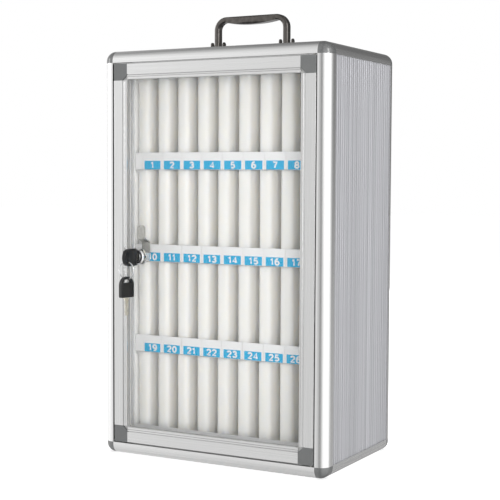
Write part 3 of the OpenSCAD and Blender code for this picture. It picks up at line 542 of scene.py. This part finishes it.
# each numeral's pen strokes, one unit tall, with the middle at zero
STROKES = {
    "0": [arc(0, 0, 0.23, 0.41, 0, 360, 20)],
    "1": [[(-0.16, 0.25), (-0.02, 0.31), (0.05, 0.41), (0.05, -0.41)]],
    "2": [arc(0, 0.19, 0.23, 0.22, 170, -35) + [(-0.22, -0.4), (0.24, -0.4)]],
    "3": [arc(-0.02, 0.21, 0.21, 0.2, 160, -90) + arc(-0.02, -0.2, 0.24, 0.21, 90, -160)],
    "4": [[(0.12, -0.41), (0.12, 0.41), (-0.26, -0.2), (0.27, -0.2)]],
    "5": [[(0.2, 0.4), (-0.16, 0.4), (-0.21, 0.02)] + arc(-0.01, -0.16, 0.24, 0.24, 115, -140)],
    "6": [arc(0.02, -0.03, 0.25, 0.44, 65, 190) + arc(0, -0.17, 0.23, 0.24, 180, 520, 18)],
    "7": [[(-0.23, 0.4), (0.24, 0.4), (0.06, 0.05), (-0.06, -0.41)]],
    "8": [arc(0, 0.21, 0.19, 0.2, -90, 270, 18), arc(0, -0.2, 0.23, 0.21, 90, 450, 18)],
}
STROKES["9"] = [[(-x, -z) for x, z in stroke] for stroke in STROKES["6"]]


def pen_stroke(points, centre_x, front, centre_z):
    # a round wire along the stroke, pressed flat to the thickness of ink
    bpy.ops.object.select_all(action="DESELECT")
    bpy.ops.curve.primitive_nurbs_path_add(location=(centre_x, front, centre_z))
    wire = bpy.context.object
    wire.data.splines.clear()
    spline = wire.data.splines.new("POLY")
    spline.points.add(len(points) - 1)
    for point, (x, z) in zip(spline.points, points):
        point.co = (x * NUMBER_WIDE, 0, z * NUMBER_TALL, 1)
    wire.data.dimensions = "3D"
    wire.data.bevel_depth = NUMBER_PEN / 2
    wire.data.bevel_resolution = 2
    wire.data.use_fill_caps = True
    bpy.ops.object.convert(target="MESH")
    wire = bpy.context.object
    wire.scale.y = INK / NUMBER_PEN
    bpy.ops.object.transform_apply(location=True, rotation=True, scale=True)
    wire.data.materials.clear()
    wire.data.materials.append(ink_white)
    return wire


card_white = finish("card_white", 900, (0.955, 0.955, 0.955), (0.985, 0.985, 0.985), (0.55, 0.55))
finish_nodes(card_white, "label_cards")
clear_plastic = finish("clear_plastic", 40, (0.7, 0.74, 0.75), (0.7, 0.74, 0.75), (0.08, 0.18),
                       detail=3.0, also={"Alpha": 0.025})
finish_nodes(clear_plastic, "label_holders")
ink_blue = finish("ink_blue", 2200, (0.005, 0.42, 0.75), (0.007, 0.48, 0.83), (0.5, 0.5),
                  detail=2.0, also={"Specular IOR Level": 0.08})
ink_white = finish("ink_white", 2200, (0.94, 0.94, 0.94), (0.98, 0.98, 0.98), (0.5, 0.5), detail=2.0)

card_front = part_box("label_cards")[0].y
for row in range(1, ROWS + 1):
    centre_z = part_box(f"foam_row_{row}")[0].z - STRIP_BELOW_FOAM + FIELD_RISE + FIELD_HEIGHT / 2
    fields, numerals = [], []
    for i in range(SLOTS):
        centre_x = (i - (SLOTS - 1) / 2) * slot_pitch
        field = block("field", (centre_x, card_front - INK / 2, centre_z),
                      (FIELD_WIDTH, INK, FIELD_HEIGHT))
        field.data.materials.append(ink_blue)
        fields.append(field)
        number = str((row - 1) * SLOTS + i + 1)
        # a one is narrow, so the numeral beside it stands closer
        apart = sum(NARROW_STEP if digit == "1" else DIGIT_STEP for digit in number) / len(number)
        for place, digit in enumerate(number):
            digit_x = centre_x + (place - (len(number) - 1) / 2) * apart
            for layer, points in enumerate(STROKES[digit]):
                front = card_front - (2 + STROKE_GAP * layer) * INK
                numerals.append(pen_stroke(points, digit_x, front, centre_z))
    for group, name in ((fields, "number_fields"), (numerals, "numbers")):
        print_layer = joined(group, f"{name}_row_{row}")
        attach(print_layer, "cabinet")

# DOOR
# Four aluminium members with a round bead, dark grey corner blocks, a grey rubber channel and a
# clear acrylic pane with a faint cool tint.
finish_nodes(anodised("anodised_stile", "Z", 0.68), "door_stile_left", "door_stile_right")
finish_nodes(anodised("anodised_door_rail", "X", 0.7), "door_rail_top", "door_rail_bottom")
block_plastic = finish("block_plastic", 2600, (0.115, 0.119, 0.119), (0.165, 0.169, 0.169),
                       (0.42, 0.58), detail=2.0, relief=0.00004)
finish_nodes(block_plastic, "door_corner_blocks")
seal_rubber = finish("seal_rubber", 300, (0.42, 0.42, 0.415), (0.5, 0.5, 0.495), (0.5, 0.7))
finish_nodes(seal_rubber, "door_seal")
pane_clear = finish("pane_clear", 8, (0.6, 0.66, 0.67), (0.6, 0.66, 0.67), (0.03, 0.07),
                    detail=3.0, also={"Alpha": 0.03, "IOR": 1.49})
finish_nodes(pane_clear, "door_pane")

# LOCK
# A chromed zinc housing and plug with a bright nut behind the pane, and a zinc-plated cam that is
# bolted to the plug's square end. The handle's rivets and the door's hinge pins are zinc-plated too.
lock_chrome = finish("lock_chrome", 500, (0.8, 0.8, 0.81), (0.85, 0.85, 0.86), (0.08, 0.18),
                     metallic=1.0)
finish_nodes(lock_chrome, "lock_housing", "lock_nut", "lock_plug")
zinc_plate = finish("zinc_plate", (500, 500, 250), (0.36, 0.35, 0.32), (0.6, 0.59, 0.56),
                    (0.3, 0.46), metallic=1.0, relief=0.00001)
finish_nodes(zinc_plate, "lock_cam", "cam_bolt", "handle_rivets", "door_hinge_pins")

# KEYS
# Two nickel-plated blades with moulded black bows on a steel wire ring.
key_nickel = finish("key_nickel", (900, 900, 120), (0.55, 0.53, 0.47), (0.7, 0.68, 0.62),
                    (0.2, 0.36), metallic=1.0)
finish_nodes(key_nickel, "key_blade", "spare_key_blade")
bow_black = finish("bow_black", 2400, (0.009, 0.009, 0.01), (0.02, 0.02, 0.021), (0.3, 0.42),
                   detail=2.0, relief=0.00002, also={"Specular IOR Level": 0.3})
finish_nodes(bow_black, "key_bow", "spare_key_bow")
ring_steel = finish("ring_steel", 600, (0.66, 0.66, 0.67), (0.76, 0.76, 0.77), (0.12, 0.24),
                    detail=3.0, metallic=1.0)
finish_nodes(ring_steel, "key_ring")

# CARRY HANDLE
# A cast bail with a swelling grip, plated in dark chrome, that stands up on two riveted brackets.
dark_chrome = finish("dark_chrome", 160, (0.085, 0.079, 0.074), (0.14, 0.13, 0.122), (0.07, 0.15),
                     metallic=1.0)
finish_nodes(dark_chrome, "handle_bail", "handle_brackets", "handle_pins")
